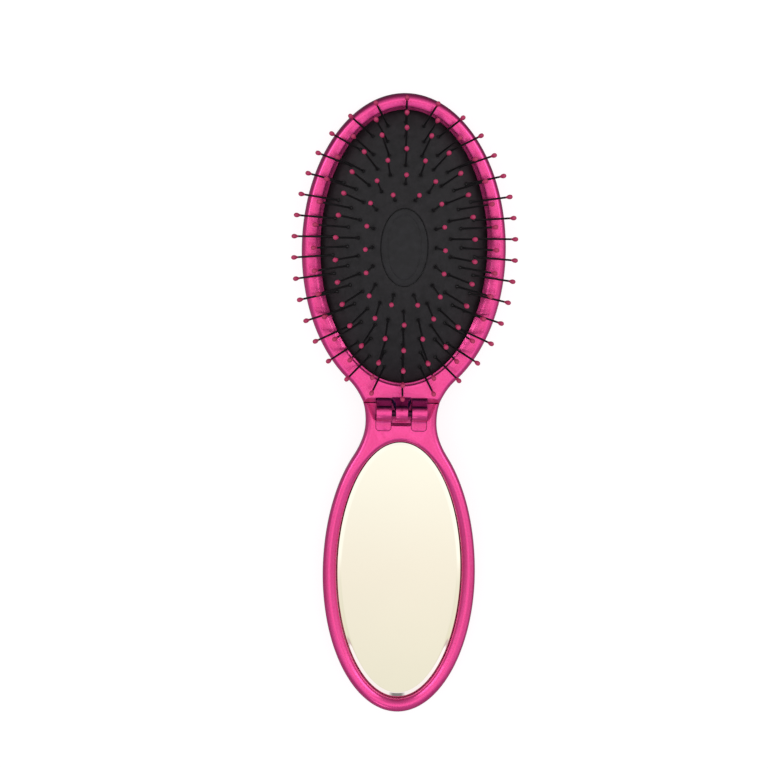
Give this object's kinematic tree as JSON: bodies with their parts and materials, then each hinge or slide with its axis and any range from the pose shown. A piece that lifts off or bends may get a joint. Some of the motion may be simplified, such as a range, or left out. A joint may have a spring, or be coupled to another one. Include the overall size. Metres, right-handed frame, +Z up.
{
  "type": "folding hairbrush with mirror",
  "caption": "Pocket hairbrush whose mirror handle folds over an oval head of beaded bristles in a domed cushion, with a push button in the back.",
  "frame": {"origin": "on the table plane under the joint line between head and handle, with the open brush lying on its back", "axes": "+Y from the joint to the head's far end, +Z up out of the bristles, +X across"},
  "size_m": [0.0694, 0.192, 0.0355],
  "materials": {
    "pink_shell": "metallised pink plastic, glossy",
    "black_rubber": "matte black rubber",
    "black_plastic": "matte black plastic",
    "black_nylon": "satin black nylon",
    "pink_tips": "glossy pink beads",
    "steel_pin": "plain steel",
    "mirror": "silvered glass, bevelled edge",
    "foam": "dark foam"
  },
  "bodies": {
    "head": {"head_back_shell": "pink_shell", "head_front_ring": "pink_shell", "pad_clamp_ring": "black_plastic", "pad_cushion": "black_rubber", "hinge_pin": "steel_pin"},
    "handle": {"handle_back_shell": "pink_shell", "handle_front_frame": "pink_shell", "mirror_glass": "mirror", "mirror_backing": "foam"},
    "press": {"press_oval": "black_plastic", "pop_button": "pink_shell", "bristles_center": "black_nylon", "tips_center": "pink_tips"},
    "tuft_mid_1": {"bristles_mid_1": "black_nylon", "tips_mid_1": "pink_tips"},
    "tuft_mid_2": {"bristles_mid_2": "black_nylon", "tips_mid_2": "pink_tips"},
    "tuft_mid_3": {"bristles_mid_3": "black_nylon", "tips_mid_3": "pink_tips"},
    "tuft_mid_4": {"bristles_mid_4": "black_nylon", "tips_mid_4": "pink_tips"},
    "tuft_mid_5": {"bristles_mid_5": "black_nylon", "tips_mid_5": "pink_tips"},
    "tuft_mid_6": {"bristles_mid_6": "black_nylon", "tips_mid_6": "pink_tips"},
    "tuft_mid_7": {"bristles_mid_7": "black_nylon", "tips_mid_7": "pink_tips"},
    "tuft_mid_8": {"bristles_mid_8": "black_nylon", "tips_mid_8": "pink_tips"},
    "tuft_outer_1": {"bristles_outer_1": "black_nylon", "tips_outer_1": "pink_tips"},
    "tuft_outer_2": {"bristles_outer_2": "black_nylon", "tips_outer_2": "pink_tips"},
    "tuft_outer_3": {"bristles_outer_3": "black_nylon", "tips_outer_3": "pink_tips"},
    "tuft_outer_4": {"bristles_outer_4": "black_nylon", "tips_outer_4": "pink_tips"},
    "tuft_outer_5": {"bristles_outer_5": "black_nylon", "tips_outer_5": "pink_tips"},
    "tuft_outer_6": {"bristles_outer_6": "black_nylon", "tips_outer_6": "pink_tips"},
    "tuft_outer_7": {"bristles_outer_7": "black_nylon", "tips_outer_7": "pink_tips"},
    "tuft_outer_8": {"bristles_outer_8": "black_nylon", "tips_outer_8": "pink_tips"},
    "tuft_outer_9": {"bristles_outer_9": "black_nylon", "tips_outer_9": "pink_tips"},
    "tuft_outer_10": {"bristles_outer_10": "black_nylon", "tips_outer_10": "pink_tips"},
    "tuft_outer_11": {"bristles_outer_11": "black_nylon", "tips_outer_11": "pink_tips"},
    "tuft_outer_12": {"bristles_outer_12": "black_nylon", "tips_outer_12": "pink_tips"}
  },
  "joints": [
    {"name": "fold", "type": "hinge", "parent": "head", "child": "handle", "pos_m": [0, -0.0026, 0.0195], "axis": [-1, 0, 0], "range_deg": [0, 180]},
    {"name": "press_slide", "type": "slide", "parent": "head", "child": "press", "axis": [0, 0, -1], "range_m": [0, 0.009], "deforming": ["pad_cushion"]},
    {"name": "tilt_mid_1", "type": "hinge", "parent": "head", "child": "tuft_mid_1", "pos_m": [0.0342, 0.0485, 0.01393], "axis": [0, -1, 0], "range_deg": [0, 22]},
    {"name": "tilt_mid_2", "type": "hinge", "parent": "head", "child": "tuft_mid_2", "pos_m": [0.0265, 0.08062, 0.01359], "axis": [0.6448, -0.7644, 0], "range_deg": [0, 19.88]},
    {"name": "tilt_mid_3", "type": "hinge", "parent": "head", "child": "tuft_mid_3", "pos_m": [0, 0.1045, 0.0131], "axis": [1, 0, 0], "range_deg": [0, 13.01]},
    {"name": "tilt_mid_4", "type": "hinge", "parent": "head", "child": "tuft_mid_4", "pos_m": [-0.0265, 0.08062, 0.01359], "axis": [0.6448, 0.7644, 0], "range_deg": [0, 19.88]},
    {"name": "tilt_mid_5", "type": "hinge", "parent": "head", "child": "tuft_mid_5", "pos_m": [-0.0342, 0.0485, 0.01393], "axis": [0, 1, 0], "range_deg": [0, 22]},
    {"name": "tilt_mid_6", "type": "hinge", "parent": "head", "child": "tuft_mid_6", "pos_m": [-0.0265, 0.01638, 0.01359], "axis": [-0.6448, 0.7644, 0], "range_deg": [0, 19.88]},
    {"name": "tilt_mid_7", "type": "hinge", "parent": "head", "child": "tuft_mid_7", "pos_m": [0, -0.00749, 0.0131], "axis": [-1, 0, 0], "range_deg": [0, 13.01]},
    {"name": "tilt_mid_8", "type": "hinge", "parent": "head", "child": "tuft_mid_8", "pos_m": [0.0265, 0.01638, 0.01359], "axis": [-0.6448, -0.7644, 0], "range_deg": [0, 19.88]},
    {"name": "tilt_outer_1", "type": "hinge", "parent": "head", "child": "tuft_outer_1", "pos_m": [0.02704, 0.0485, 0.01235], "axis": [0, -1, 0], "range_deg": [0, 36.01]},
    {"name": "tilt_outer_2", "type": "hinge", "parent": "head", "child": "tuft_outer_2", "pos_m": [0.02349, 0.06926, 0.01224], "axis": [0.3123, -0.95, 0], "range_deg": [0, 35.05]},
    {"name": "tilt_outer_3", "type": "hinge", "parent": "head", "child": "tuft_outer_3", "pos_m": [0.01472, 0.08415, 0.01183], "axis": [0.6821, -0.7313, 0], "range_deg": [0, 30.9]},
    {"name": "tilt_outer_4", "type": "hinge", "parent": "head", "child": "tuft_outer_4", "pos_m": [0, 0.0943, 0.01135], "axis": [1, 0, 0], "range_deg": [0, 17]},
    {"name": "tilt_outer_5", "type": "hinge", "parent": "head", "child": "tuft_outer_5", "pos_m": [-0.01472, 0.08415, 0.01183], "axis": [0.6821, 0.7313, 0], "range_deg": [0, 30.9]},
    {"name": "tilt_outer_6", "type": "hinge", "parent": "head", "child": "tuft_outer_6", "pos_m": [-0.02349, 0.06926, 0.01224], "axis": [0.3123, 0.95, 0], "range_deg": [0, 35.05]},
    {"name": "tilt_outer_7", "type": "hinge", "parent": "head", "child": "tuft_outer_7", "pos_m": [-0.02704, 0.0485, 0.01235], "axis": [0, 1, 0], "range_deg": [0, 36.01]},
    {"name": "tilt_outer_8", "type": "hinge", "parent": "head", "child": "tuft_outer_8", "pos_m": [-0.02349, 0.02774, 0.01224], "axis": [-0.3123, 0.95, 0], "range_deg": [0, 35.05]},
    {"name": "tilt_outer_9", "type": "hinge", "parent": "head", "child": "tuft_outer_9", "pos_m": [-0.01472, 0.01285, 0.01183], "axis": [-0.6821, 0.7313, 0], "range_deg": [0, 30.9]},
    {"name": "tilt_outer_10", "type": "hinge", "parent": "head", "child": "tuft_outer_10", "pos_m": [0, 0.0027, 0.01135], "axis": [-1, 0, 0], "range_deg": [0, 17.01]},
    {"name": "tilt_outer_11", "type": "hinge", "parent": "head", "child": "tuft_outer_11", "pos_m": [0.01472, 0.01285, 0.01183], "axis": [-0.6821, -0.7313, 0], "range_deg": [0, 30.9]},
    {"name": "tilt_outer_12", "type": "hinge", "parent": "head", "child": "tuft_outer_12", "pos_m": [0.02349, 0.02774, 0.01224], "axis": [-0.3123, -0.95, 0], "range_deg": [0, 35.05]}
  ],
  "couplings": [
    {"joint": "press_slide", "follows": "fold", "m_per_rad": 0.002864},
    {"joint": "tilt_mid_1", "follows": "fold", "ratio": 0.12222},
    {"joint": "tilt_mid_2", "follows": "fold", "ratio": 0.11044},
    {"joint": "tilt_mid_3", "follows": "fold", "ratio": 0.07222},
    {"joint": "tilt_mid_4", "follows": "fold", "ratio": 0.11044},
    {"joint": "tilt_mid_5", "follows": "fold", "ratio": 0.12222},
    {"joint": "tilt_mid_6", "follows": "fold", "ratio": 0.11044},
    {"joint": "tilt_mid_7", "follows": "fold", "ratio": 0.07222},
    {"joint": "tilt_mid_8", "follows": "fold", "ratio": 0.11044},
    {"joint": "tilt_outer_1", "follows": "fold", "ratio": 0.2},
    {"joint": "tilt_outer_2", "follows": "fold", "ratio": 0.19472},
    {"joint": "tilt_outer_3", "follows": "fold", "ratio": 0.17163},
    {"joint": "tilt_outer_4", "follows": "fold", "ratio": 0.09444},
    {"joint": "tilt_outer_5", "follows": "fold", "ratio": 0.17163},
    {"joint": "tilt_outer_6", "follows": "fold", "ratio": 0.19472},
    {"joint": "tilt_outer_7", "follows": "fold", "ratio": 0.2},
    {"joint": "tilt_outer_8", "follows": "fold", "ratio": 0.19472},
    {"joint": "tilt_outer_9", "follows": "fold", "ratio": 0.17163},
    {"joint": "tilt_outer_10", "follows": "fold", "ratio": 0.09444},
    {"joint": "tilt_outer_11", "follows": "fold", "ratio": 0.17163},
    {"joint": "tilt_outer_12", "follows": "fold", "ratio": 0.19472}
  ]
}
